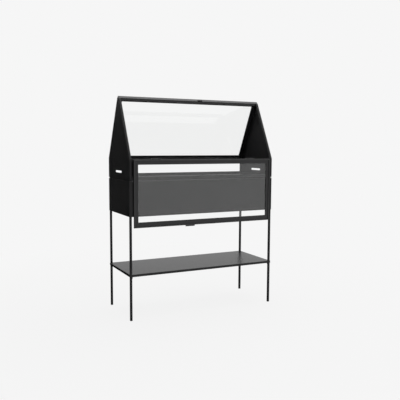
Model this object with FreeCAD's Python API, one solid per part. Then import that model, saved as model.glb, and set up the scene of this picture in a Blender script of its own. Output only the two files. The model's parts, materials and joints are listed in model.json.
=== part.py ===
import FreeCAD, Part
import math
import os

V = FreeCAD.Vector

# Overall sizes in millimetres: x along the width, y from front to back, z up from the ground
WIDTH = 914.0
DEPTH = 364.0
SHELF_TOP = 259.6
TROUGH_BOTTOM = 579.0
TROUGH_HEIGHT = 195.0
SEAM_GAP = 5.0
BAND_HEIGHT = 112.0
ROOF_RISE = 351.5

# Steel sections
TUBE = 12.0
TUBE_WALL = 1.2
TUBE_CORNER = 1.0
SHEET = 1.5
SHEET_BEND = 2.0
SILL_HEIGHT = 20.0
RIDGE_LEG = 18.0
RIDGE_SHEET = 2.0
RIDGE_SHOULDER = 1.0
TIP_CLEARANCE = 0.3

# Trough, shelf and feet
RIM_RETURN = 16.0
RIM_FOLD = 1.2
RING_LIFT = 2.0
SHELF_RIM = 13.3
SHELF_HOLE_CLEARANCE = 0.3
CLIP_LEG = 20.0
CLIP_SHEET = 2.0
GLIDE_FOOT = 3.0
GLIDE_PLUG = 12.0
GLIDE_CLEARANCE = 0.1

# House details
VENT_LENGTH = 104.0
VENT_HEIGHT = 12.0
VENT_RISE = 40.5
LEDGE_WIDTH = 13.5
LEDGE_SHEET = 2.0
GLASS = 3.0
GLASS_EDGE_GAP = 1.0
BACK_BEAD_WIDTH = 12.0
BACK_BEAD_SHEET = 3.0
BUFFER_WIDTH = 10.0
BUFFER_END_GAP = 4.0
BUFFER_CLEARANCE = 0.3

# Hinged roof panel
PANEL_SIDE_GAP = 9.0
PANEL_DEPTH = 10.0
PANEL_BAR = 6.0
PANEL_FLANGE = 1.5
PANEL_BEAD = 2.0
BEAD_GAP = 0.5
MITRE_GAP = 0.15
STILE_WIDTH = 24.0
HINGE_RAIL_WIDTH = 25.0
FREE_RAIL_WIDTH = 28.5
RIDGE_CLEARANCE = 2.7
LIP_LEFT = -125.0
LIP_WIDTH = 58.0
LIP_REACH = 7.8
LIP_SHEET = 1.5
LIP_CORNER = 3.0
LIP_CLEARANCE = 0.3
CATCH_LEFT = 38.0
CATCH_WIDTH = 28.0
CATCH_LENGTH = 12.0
CATCH_HEIGHT = 4.0
CATCH_INSET = 1.0
STRIKE_SHEET = 1.0
STRIKE_MARGIN = 0.4

# Hinges
HINGE_X = 300.0
HINGE_LENGTH = 60.0
KNUCKLES = 3
KNUCKLE_R = 2.4
PIN_R = 1.2
PIN_FIT = 0.05
KNUCKLE_GAP = 0.3
LEAF = 1.2
LEAF_GAP = 0.3
LEAF_REACH = 8.0
PIVOT_RISE = 2.0
LEAF_MARGIN = 1.0
EDGE_GAP = 0.4

# Screws
SCREW_R = 2.0
SCREW_HEAD_R = 4.0
SCREW_HEAD = 1.6
SCREW_LENGTH = 8.0
SMALL_SCREW_R = 1.0
SMALL_HEAD_R = 1.4
SMALL_HEAD = 1.0
FLUSH_HEAD_R = 2.2
LEAF_SCREW_LENGTH = 6.0
LEAF_SCREW_X = 20.0
SCREW_CLEARANCE = 0.1
HEAD_SIDES = 6
TROUGH_SCREW_X = 300.0

# Places that several pieces share
HALF_W = WIDTH / 2
HALF_D = DEPTH / 2
FRAME_OUT = HALF_W - SHEET
FRAME_IN = FRAME_OUT - TUBE
LEG_IN_Y = HALF_D - SHEET - TUBE
RING_BOTTOM = TROUGH_BOTTOM + RING_LIFT
RING_TOP = RING_BOTTOM + TUBE
TROUGH_TOP = TROUGH_BOTTOM + TROUGH_HEIGHT
HOUSE_BOTTOM = TROUGH_TOP + SEAM_GAP
EAVE = HOUSE_BOTTOM + BAND_HEIGHT
RIDGE = EAVE + ROOF_RISE
RIDGE_HALF = RIDGE_LEG / math.sqrt(2)
GABLE_TOP = RIDGE - RIDGE_HALF
GABLE_TOP_HALF = RIDGE_HALF + RIDGE_SHOULDER
SLOPE = math.atan2(GABLE_TOP - EAVE, HALF_D - GABLE_TOP_HALF)
SLOPE_LENGTH = (GABLE_TOP - EAVE) / math.sin(SLOPE)

# The panel hangs from its pivot: s runs down from the pivot, n runs back from the pivot plane
PIVOT_Y = -(HALF_D + KNUCKLE_R)
PIVOT_Z = EAVE + PIVOT_RISE
PANEL_BACK = KNUCKLE_R - LEAF - LEAF_GAP
PANEL_FRONT = PANEL_BACK - PANEL_DEPTH
PANEL_HALF = FRAME_IN - PANEL_SIDE_GAP
CORNER_Y = -RIDGE_HALF - PIVOT_Y
CORNER_Z = GABLE_TOP - PIVOT_Z
RIDGE_S = CORNER_Y * math.cos(SLOPE) + CORNER_Z * math.sin(SLOPE)
RIDGE_N = CORNER_Z * math.cos(SLOPE) - CORNER_Y * math.sin(SLOPE)
PANEL_START = KNUCKLE_R + EDGE_GAP + LEAF
PANEL_END = RIDGE_S - RIDGE_CLEARANCE

# The origin is on the ground under the middle of the whole part
SHIFT_Y = -(PIVOT_Y + PANEL_FRONT + HALF_D) / 2

# How an edge is told to run along a bar
ALONG = 1e-6
LONG_SHARE = 0.3

SIDES = (("left", -1), ("right", 1))
ENDS = (("front", -1), ("back", 1))

nodes = {}


def box(xs, ys, zs):
    """A block between two values on each axis, given in either order."""
    low = V(min(xs), min(ys), min(zs))
    return Part.makeBox(abs(xs[1] - xs[0]), abs(ys[1] - ys[0]), abs(zs[1] - zs[0]), low)


def prism(points, along):
    """A flat outline pushed along a vector."""
    return Part.Face(Part.makePolygon(points + points[:1])).extrude(along)


def across(outline, x0, x1):
    """An outline of (y, z) points as a solid from x0 to x1."""
    return prism([V(x0, y, z) for y, z in outline], V(x1 - x0, 0, 0))


def ease(solid, direction, size):
    """Take the sharp corners off a bar's long edges, those that run along the direction."""
    longest = max(edge.Length for edge in solid.Edges)
    edges = []
    for edge in solid.Edges:
        run = (edge.Vertexes[1].Point - edge.Vertexes[0].Point).normalize()
        if run.cross(direction).Length < ALONG and edge.Length > longest * LONG_SHARE:
            edges.append(edge)
    return solid.makeChamfer(size, edges)


def tube(xs, ys, zs, axis):
    """A square tube with eased corners, open at both ends of the axis that it runs along."""
    spans = [sorted(xs), sorted(ys), sorted(zs)]
    bore = []
    for name, (low, high) in zip("xyz", spans):
        wall = 0 if name == axis else TUBE_WALL
        bore.append((low + wall, high - wall))
    direction = V(*[float(name == axis) for name in "xyz"])
    return ease(box(*spans), direction, TUBE_CORNER).cut(box(*bore))


def inset(outline, distance):
    """A convex outline moved inwards, with its sides kept parallel."""
    moved = []
    for i, (y, z) in enumerate(outline):
        normals = []
        for a, b in ((outline[i - 1], outline[i]), (outline[i], outline[(i + 1) % len(outline)])):
            length = math.dist(a, b)
            normals.append(((a[1] - b[1]) / length, (b[0] - a[0]) / length))
        (uy, uz), (wy, wz) = normals
        reach = distance / (1 + uy * wy + uz * wz)
        moved.append((y + (uy + wy) * reach, z + (uz + wz) * reach))
    return moved


def sides_between(outer, inner):
    """The four-cornered strips between two outlines that have the same corners."""
    strips = []
    for i in range(len(outer)):
        j = (i + 1) % len(outer)
        strips.append([outer[i], outer[j], inner[j], inner[i]])
    return strips


def bead_strips(outer, inner):
    """Glazing beads between two outlines, with a hairline left open at each mitre."""
    beads = []
    for strip in sides_between(outer, inner):
        (x0, s0), (x1, s1) = strip[:2]
        length = math.dist(strip[0], strip[1])
        dx = (x1 - x0) / length * MITRE_GAP
        ds = (s1 - s0) / length * MITRE_GAP
        inwards = (1, -1, -1, 1)
        beads.append([(x + dx * way, s + ds * way) for (x, s), way in zip(strip, inwards)])
    return beads


def rod(radius, length, start, direction):
    return Part.makeCylinder(radius, length, start, direction)


def screw(seat, direction, head_r, head, shank_r, length):
    """A hexagon screw whose head stands on the seat and whose shank runs along the direction."""
    side = V(direction.y, direction.z, direction.x) * head_r
    corners = []
    for i in range(HEAD_SIDES):
        turn = FreeCAD.Rotation(direction, i * 360 / HEAD_SIDES)
        corners.append(seat + turn.multVec(side))
    return prism(corners, direction * -head).fuse(rod(shank_r, length, seat, direction))


def group(solids):
    return Part.makeCompound(solids)


def make_legs():
    glides = []
    for side, sx in SIDES:
        for end, sy in ENDS:
            xs = (sx * FRAME_IN, sx * FRAME_OUT)
            ys = (sy * LEG_IN_Y, sy * (LEG_IN_Y + TUBE))
            nodes[f"{side}_{end}_leg"] = tube(xs, ys, (GLIDE_FOOT, RING_TOP), "z")
            inside = TUBE_WALL + GLIDE_CLEARANCE
            plug_x = (min(xs) + inside, max(xs) - inside)
            plug_y = (min(ys) + inside, max(ys) - inside)
            plug = box(plug_x, plug_y, (GLIDE_FOOT, GLIDE_FOOT + GLIDE_PLUG))
            glides.append(box(xs, ys, (0, GLIDE_FOOT)).fuse(plug))
    nodes["leg_glides"] = group(glides)


def make_ring():
    zs = (RING_BOTTOM, RING_TOP)
    holes = [rod(SCREW_R + SCREW_CLEARANCE, TUBE, V(x, y, RING_BOTTOM + TUBE / 2), V(0, 0, 1))
             for x, y in trough_screw_places()]
    for end, sy in ENDS:
        ys = (sy * LEG_IN_Y, sy * (LEG_IN_Y + TUBE))
        rail = tube((-FRAME_IN, FRAME_IN), ys, zs, "x")
        for hole in holes:
            rail = rail.cut(hole)
        nodes[f"{end}_ring_rail"] = rail
    for side, sx in SIDES:
        xs = (sx * FRAME_IN, sx * FRAME_OUT)
        nodes[f"{side}_ring_rail"] = tube(xs, (-LEG_IN_Y, LEG_IN_Y), zs, "y")


def make_shelf():
    rim_bottom = SHELF_TOP - SHELF_RIM
    under = SHELF_TOP - SHEET
    tray = box((-HALF_W, HALF_W), (-HALF_D, HALF_D), (rim_bottom, SHELF_TOP))
    tray = tray.makeFillet(SHEET_BEND, [edge for edge in tray.Edges if edge.BoundBox.ZMin > under])
    inner_x = HALF_W - SHEET
    inner_y = HALF_D - SHEET
    tray = tray.cut(box((-inner_x, inner_x), (-inner_y, inner_y), (rim_bottom, under)))
    clips = []
    screws = []
    for _, sx in SIDES:
        for _, sy in ENDS:
            hole_x = (sx * (FRAME_IN - SHELF_HOLE_CLEARANCE), sx * FRAME_OUT)
            hole_y = (sy * (LEG_IN_Y - SHELF_HOLE_CLEARANCE), sy * (LEG_IN_Y + TUBE))
            tray = tray.cut(box(hole_x, hole_y, (under, SHELF_TOP)))
            clip, fixing = shelf_clip(sx, sy, under)
            clips.append(clip)
            screws.append(fixing)
    nodes["shelf_tray"] = tray
    nodes["shelf_clips"] = group(clips)
    nodes["shelf_screws"] = group(screws)


def shelf_clip(sx, sy, under):
    """An angle clip under the shelf, and the screw that holds it to the leg."""
    ys = (sy * LEG_IN_Y, sy * (LEG_IN_Y + TUBE))
    upright = box((sx * (FRAME_IN - CLIP_SHEET), sx * FRAME_IN), ys, (under - CLIP_LEG, under))
    flat = box((sx * (FRAME_IN - CLIP_LEG), sx * FRAME_IN), ys, (under - CLIP_SHEET, under))
    inwards = V(sx, 0, 0)
    screw_z = under - (CLIP_LEG + CLIP_SHEET) / 2
    seat = V(sx * (FRAME_IN - CLIP_SHEET), sy * (LEG_IN_Y + TUBE / 2), screw_z)
    hole = rod(SCREW_R + SCREW_CLEARANCE, TUBE / 2, seat, inwards)
    for end, side_y in ENDS:
        for side, side_x in SIDES:
            if (side_x, side_y) == (sx, sy):
                leg = f"{side}_{end}_leg"
                nodes[leg] = nodes[leg].cut(hole)
    clip = upright.fuse(flat).cut(hole)
    return clip, screw(seat, inwards, SCREW_HEAD_R, SCREW_HEAD, SCREW_R, TUBE / 2)


def trough_screw_places():
    y = LEG_IN_Y + TUBE / 2
    return [(sx * TROUGH_SCREW_X, sy * y) for _, sx in SIDES for _, sy in ENDS]


def folded(wall, under_rim):
    """A trough wall with its outer top edge rounded where the sheet is folded inwards."""
    top_edges = [edge for edge in wall.Edges if edge.BoundBox.ZMin > under_rim + ALONG]
    return wall.makeFillet(RIM_FOLD, [max(top_edges, key=lambda edge: edge.Length)])


def make_trough():
    under_rim = TROUGH_TOP - SHEET
    outer = [(-HALF_W, -HALF_D), (HALF_W, -HALF_D), (HALF_W, HALF_D), (-HALF_W, HALF_D)]
    strips = sides_between(outer, inset(outer, RIM_RETURN))
    rims = [prism([V(x, y, under_rim) for x, y in strip], V(0, 0, SHEET)) for strip in strips]
    front, right, back, left = rims
    for end, sy, rim in (("front", -1, front), ("back", 1, back)):
        wall = box((-HALF_W, HALF_W), (sy * (HALF_D - SHEET), sy * HALF_D), (TROUGH_BOTTOM, under_rim))
        nodes[f"trough_{end}_wall"] = folded(wall.fuse(rim).removeSplitter(), under_rim)
    for side, sx, rim in (("left", -1, left), ("right", 1, right)):
        between = (-(HALF_D - SHEET), HALF_D - SHEET)
        wall = box((sx * (HALF_W - SHEET), sx * HALF_W), between, (TROUGH_BOTTOM, under_rim))
        nodes[f"trough_{side}_wall"] = folded(wall.fuse(rim).removeSplitter(), under_rim)
    inner_x = HALF_W - SHEET
    inner_y = HALF_D - SHEET
    floor = box((-inner_x, inner_x), (-inner_y, inner_y), (RING_TOP, RING_TOP + SHEET))
    screws = []
    for x, y in trough_screw_places():
        seat = V(x, y, RING_TOP + SHEET)
        floor = floor.cut(rod(SCREW_R + SCREW_CLEARANCE, SHEET, V(x, y, RING_TOP), V(0, 0, 1)))
        screws.append(screw(seat, V(0, 0, -1), SCREW_HEAD_R, SCREW_HEAD, SCREW_R, SCREW_LENGTH))
    nodes["trough_floor"] = floor
    nodes["trough_screws"] = group(screws)


def make_gables():
    outline = [(-HALF_D, HOUSE_BOTTOM), (HALF_D, HOUSE_BOTTOM), (HALF_D, EAVE),
               (GABLE_TOP_HALF, GABLE_TOP), (-GABLE_TOP_HALF, GABLE_TOP), (-HALF_D, EAVE)]
    bars = ("bottom_bar", "back_post", "back_rafter", "top_bar", "front_rafter", "front_post")
    solid_sides = sides_between(outline, inset(outline, TUBE))
    bore_sides = sides_between(inset(outline, TUBE_WALL), inset(outline, TUBE - TUBE_WALL))
    tip = RIDGE_HALF - RIDGE_SHEET * math.sqrt(2) - TIP_CLEARANCE
    peak = [(tip, GABLE_TOP), (0, GABLE_TOP + tip), (-tip, GABLE_TOP)]
    cover = outline[:4] + peak + outline[4:]
    for side, sx in SIDES:
        for bar, solid, bore in zip(bars, solid_sides, bore_sides):
            hollow = across(bore, sx * (FRAME_IN + TUBE_WALL), sx * (FRAME_OUT - TUBE_WALL))
            (y0, z0), (y1, z1) = solid[:2]
            bar_run = V(0, y1 - y0, z1 - z0).normalize()
            blank = ease(across(solid, sx * FRAME_IN, sx * FRAME_OUT), bar_run, TUBE_CORNER)
            nodes[f"{side}_gable_{bar}"] = blank.cut(hollow)
        plate = across(cover, sx * FRAME_OUT, sx * HALF_W)
        nodes[f"{side}_gable_sheet"] = plate.cut(vent_slot(sx))


def vent_slot(sx):
    """The round-ended slot through a gable sheet."""
    straight = (VENT_LENGTH - VENT_HEIGHT) / 2
    half = VENT_HEIGHT / 2
    middle = HOUSE_BOTTOM + VENT_RISE
    xs = (sx * FRAME_OUT, sx * HALF_W)
    slot = box(xs, (-straight, straight), (middle - half, middle + half))
    for y in (-straight, straight):
        slot = slot.fuse(rod(half, SHEET, V(min(xs), y, middle), V(1, 0, 0)))
    return slot


def make_long_rails():
    length = (-FRAME_IN, FRAME_IN)
    for end, sy in ENDS:
        ys = (sy * (HALF_D - TUBE), sy * HALF_D)
        nodes[f"{end}_eave_rail"] = tube(length, ys, (EAVE - TUBE, EAVE), "x")
        nodes[f"{end}_sill_rail"] = tube(length, ys, (HOUSE_BOTTOM, HOUSE_BOTTOM + SILL_HEIGHT), "x")
    nodes["ridge_beam"] = tube(length, (-TUBE / 2, TUBE / 2), (GABLE_TOP - TUBE, GABLE_TOP), "x")
    inner = RIDGE_HALF - RIDGE_SHEET * math.sqrt(2)
    angle = [(-RIDGE_HALF, GABLE_TOP), (-inner, GABLE_TOP), (0, GABLE_TOP + inner),
             (inner, GABLE_TOP), (RIDGE_HALF, GABLE_TOP), (0, RIDGE)]
    nodes["ridge_angle"] = across(angle, -HALF_W, HALF_W)


def on_back_slope(solid):
    """Lay a solid drawn flat, with y up the slope and z outwards, on the back roof slope."""
    solid.rotate(V(0, 0, 0), V(1, 0, 0), math.degrees(SLOPE))
    solid.rotate(V(0, 0, 0), V(0, 0, 1), 180)
    solid.translate(V(0, HALF_D, EAVE))
    return solid


def rectangle(half, low, high):
    return [(-half, low), (half, low), (half, high), (-half, high)]


def make_back_pane():
    ledge_top = -(BACK_BEAD_SHEET + GLASS)
    ledge_low = ledge_top - LEDGE_SHEET
    start = -ledge_low / math.tan(SLOPE)
    outer = rectangle(FRAME_IN, start, SLOPE_LENGTH)
    frame = prism([V(x, s, ledge_low) for x, s in outer], V(0, 0, LEDGE_SHEET))
    opening = prism([V(x, s, ledge_low) for x, s in inset(outer, LEDGE_WIDTH)], V(0, 0, LEDGE_SHEET))
    beads = []
    for strip in bead_strips(outer, inset(outer, BACK_BEAD_WIDTH)):
        bead = prism([V(x, s, -BACK_BEAD_SHEET) for x, s in strip], V(0, 0, BACK_BEAD_SHEET))
        beads.append(on_back_slope(bead))
    pane = inset(outer, GLASS_EDGE_GAP)
    nodes["back_ledge_frame"] = on_back_slope(frame.cut(opening))
    nodes["back_glazing_beads"] = group(beads)
    nodes["back_glass"] = on_back_slope(prism([V(x, s, ledge_top) for x, s in pane], V(0, 0, GLASS)))


def make_buffers():
    """The rubber strips under the gables that the house stands on."""
    strips = []
    middle = (FRAME_IN + FRAME_OUT) / 2
    end = HALF_D - BUFFER_END_GAP
    for _, sx in SIDES:
        xs = (sx * middle - BUFFER_WIDTH / 2, sx * middle + BUFFER_WIDTH / 2)
        strips.append(box(xs, (-end, end), (TROUGH_TOP + BUFFER_CLEARANCE, HOUSE_BOTTOM)))
    nodes["seat_buffers"] = group(strips)


def make_catch():
    """The magnet catch on the front face of the ridge angle."""
    unit = 1 / math.sqrt(2)
    corners = []
    for along, out in ((0, 0), (CATCH_LENGTH, 0), (CATCH_LENGTH, CATCH_HEIGHT), (0, CATCH_HEIGHT)):
        along += CATCH_INSET
        corners.append((-RIDGE_HALF + (along - out) * unit, GABLE_TOP + (along + out) * unit))
    nodes["ridge_catch"] = across(corners, CATCH_LEFT, CATCH_LEFT + CATCH_WIDTH)


def panel_prism(points, n0, n1):
    """A solid on the hanging panel from (x, s) points, between two depths n."""
    return prism([V(x, PIVOT_Y + n0, PIVOT_Z - s) for x, s in points], V(0, n1 - n0, 0))


def panel_box(xs, s, n):
    return box(xs, (PIVOT_Y + n[0], PIVOT_Y + n[1]), (PIVOT_Z - s[0], PIVOT_Z - s[1]))


def make_panel():
    outer = rectangle(PANEL_HALF, PANEL_START, PANEL_END)
    rebate = inset(outer, PANEL_BAR)
    bead_out = inset(rebate, BEAD_GAP)
    inner = rectangle(PANEL_HALF - STILE_WIDTH, PANEL_START + HINGE_RAIL_WIDTH, PANEL_END - FREE_RAIL_WIDTH)
    names = ("panel_hinge_rail", "panel_right_stile", "panel_free_rail", "panel_left_stile")
    glass_back = PANEL_BACK - PANEL_FLANGE
    glass_front = glass_back - GLASS
    for name, bar, flange in zip(names, sides_between(outer, rebate), sides_between(rebate, inner)):
        thick = panel_prism(bar, PANEL_FRONT, PANEL_BACK)
        thin = panel_prism(flange, glass_back, PANEL_BACK)
        nodes[name] = thick.fuse(thin).removeSplitter()
    strips = bead_strips(bead_out, inner)
    bead_front = glass_front - PANEL_BEAD
    nodes["panel_glazing_beads"] = group([panel_prism(strip, bead_front, glass_front) for strip in strips])
    nodes["panel_glass"] = panel_prism(inset(rebate, GLASS_EDGE_GAP), glass_front, glass_back)


def make_panel_fittings():
    low = RIDGE_N + LIP_CLEARANCE
    lip_x = (LIP_LEFT, LIP_LEFT + LIP_WIDTH)
    lip = panel_box(lip_x, (PANEL_END, PANEL_END + LIP_REACH), (low, low + LIP_SHEET))
    middle_z = PIVOT_Z - PANEL_END - LIP_REACH / 2
    below = [edge for edge in lip.Edges if edge.BoundBox.ZMax < middle_z]
    corners = [edge for edge in below if edge.BoundBox.XLength < LIP_SHEET]
    nodes["pull_lip"] = lip.makeFillet(LIP_CORNER, corners)
    strike_x = (CATCH_LEFT, CATCH_LEFT + CATCH_WIDTH)
    depth = (PANEL_FRONT + STRIKE_MARGIN, PANEL_BACK - STRIKE_MARGIN)
    nodes["strike_plate"] = panel_box(strike_x, (PANEL_END, PANEL_END + STRIKE_SHEET), depth)


def knuckle(x0, x1, bore):
    start = V(x0, PIVOT_Y, PIVOT_Z)
    return rod(KNUCKLE_R, x1 - x0, start, V(1, 0, 0)).cut(rod(bore, x1 - x0, start, V(1, 0, 0)))


def make_hinges():
    fixed = []
    moving = []
    pins = []
    fixed_screws = []
    moving_screws = []
    for _, sx in SIDES:
        x = sx * HINGE_X
        leaf, screws = fixed_leaf(x)
        fixed.append(leaf)
        fixed_screws += screws
        leaf, screws = moving_leaf(x)
        moving.append(leaf)
        moving_screws += screws
        pins.append(rod(PIN_R, HINGE_LENGTH, V(x - HINGE_LENGTH / 2, PIVOT_Y, PIVOT_Z), V(1, 0, 0)))
    nodes["hinge_fixed_leaves"] = group(fixed)
    nodes["hinge_moving_leaves"] = group(moving)
    nodes["hinge_pins"] = group(pins)
    nodes["fixed_leaf_screws"] = group(fixed_screws)
    nodes["moving_leaf_screws"] = group(moving_screws)


def knuckle_spans(x, first):
    """The x ranges of every other knuckle, from the first one given."""
    step = HINGE_LENGTH / KNUCKLES
    start = x - HINGE_LENGTH / 2
    return [(start + i * step, start + (i + 1) * step) for i in range(first, KNUCKLES, 2)]


def fixed_leaf(x):
    """The leaf on the front eave rail and its flush screws."""
    depth = (KNUCKLE_R - LEAF, KNUCKLE_R)
    ends = (x - HINGE_LENGTH / 2, x + HINGE_LENGTH / 2)
    notch = math.sqrt(KNUCKLE_R ** 2 - depth[0] ** 2) + EDGE_GAP
    bottom = PIVOT_RISE + TUBE - LEAF_MARGIN
    leaf = panel_box(ends, (notch, bottom), depth)
    for x0, x1 in knuckle_spans(x, 0):
        tab = panel_box((x0, x1), (0, notch), depth)
        bore = rod(PIN_R + PIN_FIT / 2, x1 - x0, V(x0, PIVOT_Y, PIVOT_Z), V(1, 0, 0))
        leaf = leaf.fuse(tab).fuse(knuckle(x0, x1, PIN_R + PIN_FIT / 2)).cut(bore)
    screws = []
    middle = PIVOT_Z - (notch + bottom) / 2
    for side in (-1, 1):
        seat = V(x + side * LEAF_SCREW_X, -HALF_D, middle)
        head = rod(FLUSH_HEAD_R, LEAF, seat, V(0, -1, 0))
        leaf = leaf.cut(rod(FLUSH_HEAD_R + SCREW_CLEARANCE, LEAF, seat, V(0, -1, 0)))
        hole = rod(SMALL_SCREW_R + SCREW_CLEARANCE, TUBE / 2, seat, V(0, 1, 0))
        nodes["front_eave_rail"] = nodes["front_eave_rail"].cut(hole)
        screws.append(head.fuse(rod(SMALL_SCREW_R, LEAF_SCREW_LENGTH, seat, V(0, 1, 0))))
    return leaf, screws


def moving_leaf(x):
    """The leaf folded over the edge of the panel's hinge rail, and its screws."""
    edge = (PANEL_START - LEAF, PANEL_START)
    ends = (x - HINGE_LENGTH / 2, x + HINGE_LENGTH / 2)
    leaf_front = PANEL_BACK - LEAF_REACH
    leaf = panel_box(ends, edge, (leaf_front, PANEL_BACK))
    for x0, x1 in knuckle_spans(x, 1):
        span = (x0 + KNUCKLE_GAP, x1 - KNUCKLE_GAP)
        web = panel_box(span, (0, PANEL_START), (-KNUCKLE_R, LEAF - KNUCKLE_R))
        bore = rod(PIN_R + PIN_FIT, span[1] - span[0], V(span[0], PIVOT_Y, PIVOT_Z), V(1, 0, 0))
        leaf = leaf.fuse(web).fuse(knuckle(*span, PIN_R + PIN_FIT)).cut(bore)
    screws = []
    depth = PIVOT_Y + (leaf_front - KNUCKLE_R) / 2
    down = V(0, 0, -1)
    for side in (-1, 1):
        seat = V(x + side * LEAF_SCREW_X, depth, PIVOT_Z - edge[0])
        hole = rod(SMALL_SCREW_R + SCREW_CLEARANCE, LEAF_SCREW_LENGTH + SCREW_CLEARANCE, seat, down)
        leaf = leaf.cut(hole)
        nodes["panel_hinge_rail"] = nodes["panel_hinge_rail"].cut(hole)
        screws.append(screw(seat, down, SMALL_HEAD_R, SMALL_HEAD, SMALL_SCREW_R, LEAF_SCREW_LENGTH))
    return leaf, screws


def export():
    os.makedirs("parts", exist_ok=True)
    for name, shape in nodes.items():
        shape.translate(V(0, SHIFT_Y, 0))
        shape.exportStep(f"parts/{name}.step")


make_legs()
make_ring()
make_shelf()
make_trough()
make_gables()
make_long_rails()
make_back_pane()
make_buffers()
make_catch()
make_panel()
make_panel_fittings()
make_hinges()
export()
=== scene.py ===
import json
import math

import bmesh
import bpy
from bpy.props import FloatProperty, FloatVectorProperty, PointerProperty
from mathutils import Matrix, Vector


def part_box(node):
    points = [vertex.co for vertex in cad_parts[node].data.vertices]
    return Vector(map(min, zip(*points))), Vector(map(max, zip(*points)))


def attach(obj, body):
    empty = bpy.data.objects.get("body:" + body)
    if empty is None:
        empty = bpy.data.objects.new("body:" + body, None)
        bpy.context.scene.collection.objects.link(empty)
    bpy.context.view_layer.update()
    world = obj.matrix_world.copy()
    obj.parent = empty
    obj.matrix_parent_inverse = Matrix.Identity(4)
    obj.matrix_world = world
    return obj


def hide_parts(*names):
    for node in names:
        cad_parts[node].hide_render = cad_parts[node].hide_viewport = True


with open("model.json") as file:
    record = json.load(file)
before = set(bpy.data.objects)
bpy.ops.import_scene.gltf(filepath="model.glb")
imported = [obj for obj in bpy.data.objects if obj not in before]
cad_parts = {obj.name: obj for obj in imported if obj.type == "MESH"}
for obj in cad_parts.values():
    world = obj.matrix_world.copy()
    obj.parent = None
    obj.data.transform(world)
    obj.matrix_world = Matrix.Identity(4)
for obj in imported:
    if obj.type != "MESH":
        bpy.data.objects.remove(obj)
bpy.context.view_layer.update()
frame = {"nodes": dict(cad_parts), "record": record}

bl_info = {
    "name": "Greenhouse Planter",
    "version": (1, 0, 0),
    "blender": (4, 5, 0),
    "location": "3D View > Sidebar > Planter",
    "description": "Finishes, fittings and studio for a raised steel planter with a glazed top",
    "category": "Object",
}

X_AXIS = Vector((1, 0, 0))
Y_AXIS = Vector((0, 1, 0))
Z_AXIS = Vector((0, 0, 1))
BODIES = frame["record"]["behaviour"]["bodies"]
BODY_OF = {node: body for body, nodes in BODIES.items() for node in nodes}

# Points closer than this are one point
MERGE_DISTANCE = 1e-6

# Places closer than this are level, and directions closer than this are alike
TOUCH = 0.0004

# Digits of a coordinate that tell points apart
PLACES = 6

# Edges with a sharper turn than this stay edges when a piece is smoothed
SMOOTH_ANGLE = math.radians(40)

# Nodes with another finish than their slot's; the beads' and ridge's finish is painted shading, a copy of
# the coat whose reflections make the beads read darker than the panel and the ridge lighter than the house
OWN_FINISH = {
    "shelf_tray": "shelf_steel",
    "back_glass": "back_glass",
    "panel_glazing_beads": "bead_ridge_steel_painted_shading",
    "ridge_angle": "bead_ridge_steel_painted_shading",
    "ridge_beam": "bead_ridge_steel_painted_shading",
}


# Settings that a user would change

class FinishSettings(bpy.types.PropertyGroup):
    """Colours and gloss of the planter's finishes."""
    coat_dark: FloatVectorProperty(
        name="Coat dark", description="Darker tone of the black powder coat",
        subtype="COLOR", size=3, min=0, max=1, default=(0.0094, 0.0094, 0.0102))
    coat_light: FloatVectorProperty(
        name="Coat light", description="Lighter tone of the black powder coat",
        subtype="COLOR", size=3, min=0, max=1, default=(0.0148, 0.0148, 0.0157))
    coat_roughness: FloatProperty(
        name="Coat roughness", description="Roughness of the powder coat on tubes and walls",
        subtype="FACTOR", min=0, max=1, default=0.42)
    # Painted light and shade: the three gloss levels below are copies of one coat that read lighter or
    # darker, the roof panel lightest, stand and house darkest, ridge and panel beads between
    coat_gloss: FloatProperty(
        name="Coat gloss", description="Strength of the reflections in the coat of stand and house",
        subtype="FACTOR", min=0, max=1, default=0.25)
    panel_gloss_painted_light: FloatProperty(
        name="Panel gloss", description="Strength of the reflections in the coat of the roof panel",
        subtype="FACTOR", min=0, max=1, default=0.6)
    # Painted shading: this gloss makes the panel beads read darker than the panel frame, and the ridge
    # angle and beam lighter than the house
    bead_gloss_painted_shading: FloatProperty(
        name="Bead gloss", description="Strength of the reflections in the coat of ridge and panel beads",
        subtype="FACTOR", min=0, max=1, default=0.44)
    shelf_roughness: FloatProperty(
        name="Shelf roughness", description="Roughness of the smoother coat on the low shelf",
        subtype="FACTOR", min=0, max=1, default=0.32)
    coat_grain: FloatProperty(
        name="Coat grain", description="Width of one grain of the powder coat",
        subtype="DISTANCE", unit="LENGTH", default=0.0016)
    glass_tint: FloatVectorProperty(
        name="Glass tint", description="What is left of white light behind a pane",
        subtype="COLOR", size=3, min=0, max=1, default=(0.982, 0.988, 0.985))
    panel_index: FloatProperty(
        name="Panel glass index", description="Refractive index of the hinged panel's pane",
        min=1, max=2, default=1.54)
    back_index: FloatProperty(
        name="Back glass index", description="Refractive index of the clearer back pane",
        min=1, max=2, default=1.36)
    edge_round: FloatProperty(
        name="Edge round", description="Width of the soft edge that the coat leaves on cut steel",
        subtype="DISTANCE", unit="LENGTH", default=0.00035)


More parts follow.
